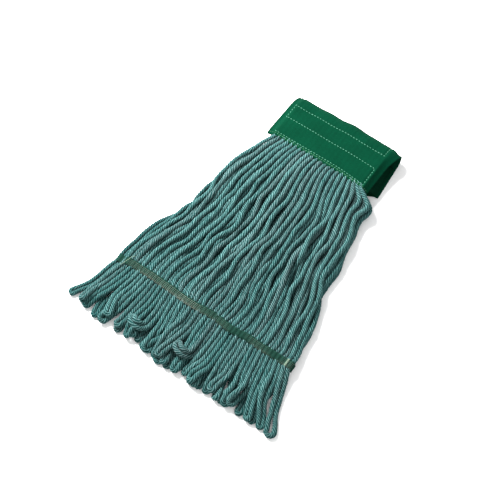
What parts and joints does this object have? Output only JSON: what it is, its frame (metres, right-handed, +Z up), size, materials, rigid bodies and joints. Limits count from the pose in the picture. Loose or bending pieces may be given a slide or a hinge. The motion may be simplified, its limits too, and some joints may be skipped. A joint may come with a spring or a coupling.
{
  "type": "looped-end wet mop head",
  "caption": "Looped-end string mop head: twisted yarn quilted in a wide folded fabric headband, held by a tail band, with a fringe of loops.",
  "frame": {"origin": "middle of the footprint, on the surface the mop head lies on", "axes": "+X across the mop head, +Y along the strands towards the fold of the headband, +Z up"},
  "size_m": [0.3118, 0.4224, 0.026],
  "materials": {
    "headband_tape": "plain-woven tape, matt",
    "headband_lining": "plain-woven tape, matt",
    "yarn": "soft four-ply looped-end yarn, matt",
    "quilting_thread": "polyester sewing thread",
    "hem_thread": "polyester sewing thread",
    "tail_tape": "plain-woven tape, matt",
    "tail_thread": "cotton chain stitching",
    "bar_tack_thread": "close zigzag stitching"
  },
  "bodies": {
    "back_band": {"headband_outer_back": "headband_tape", "headband_lining_back": "headband_lining", "yarn_core_back": "yarn", "quilting_thread_back": "quilting_thread", "hem_thread_back": "hem_thread", "headband_outer_fold": "headband_tape", "headband_lining_fold": "headband_lining", "yarn_core_fold": "yarn", "quilting_thread_fold": "quilting_thread"},
    "front_band": {"headband_outer_front": "headband_tape", "headband_lining_front": "headband_lining", "yarn_core_front": "yarn", "quilting_thread_front": "quilting_thread", "hem_thread_front": "hem_thread"},
    "front_skirt": {"outer_strands_front": "yarn", "inner_strands_front": "yarn", "tail_tape_outer_front": "tail_tape", "tail_tape_inner_front": "tail_tape", "tail_stitching_front": "tail_thread", "tail_bar_tack_front": "bar_tack_thread"},
    "back_skirt": {"outer_strands_back": "yarn", "inner_strands_back": "yarn", "tail_tape_outer_back": "tail_tape", "tail_tape_inner_back": "tail_tape", "tail_stitching_back": "tail_thread", "tail_bar_tack_back": "bar_tack_thread"},
    "front_fringe": {"fringe_loops_front": "yarn"},
    "back_fringe": {"fringe_loops_back": "yarn"}
  },
  "joints": [
    {"name": "headband_fold", "type": "hinge", "parent": "back_band", "child": "front_band", "pos_m": [0, 0.21116, 0.013], "axis": [-1, 0, 0], "range_deg": [0, 180], "deforming": ["headband_outer_fold", "headband_lining_fold", "yarn_core_fold", "quilting_thread_fold"]},
    {"name": "front_skirt_flex", "type": "hinge", "parent": "front_band", "child": "front_skirt", "pos_m": [0, 0.14326, 0.026], "axis": [-1, 0, 0], "range_deg": [0, 90]},
    {"name": "back_skirt_flex", "type": "hinge", "parent": "back_band", "child": "back_skirt", "pos_m": [0, 0.14326, 0], "axis": [1, 0, 0], "range_deg": [0, 90]},
    {"name": "front_fringe_flex", "type": "hinge", "parent": "front_skirt", "child": "front_fringe", "pos_m": [0, -0.11649, 0.0164], "axis": [-1, 0, 0], "range_deg": [0, 45]},
    {"name": "back_fringe_flex", "type": "hinge", "parent": "back_skirt", "child": "back_fringe", "pos_m": [0, -0.11649, 0], "axis": [1, 0, 0], "range_deg": [0, 45]}
  ]
}
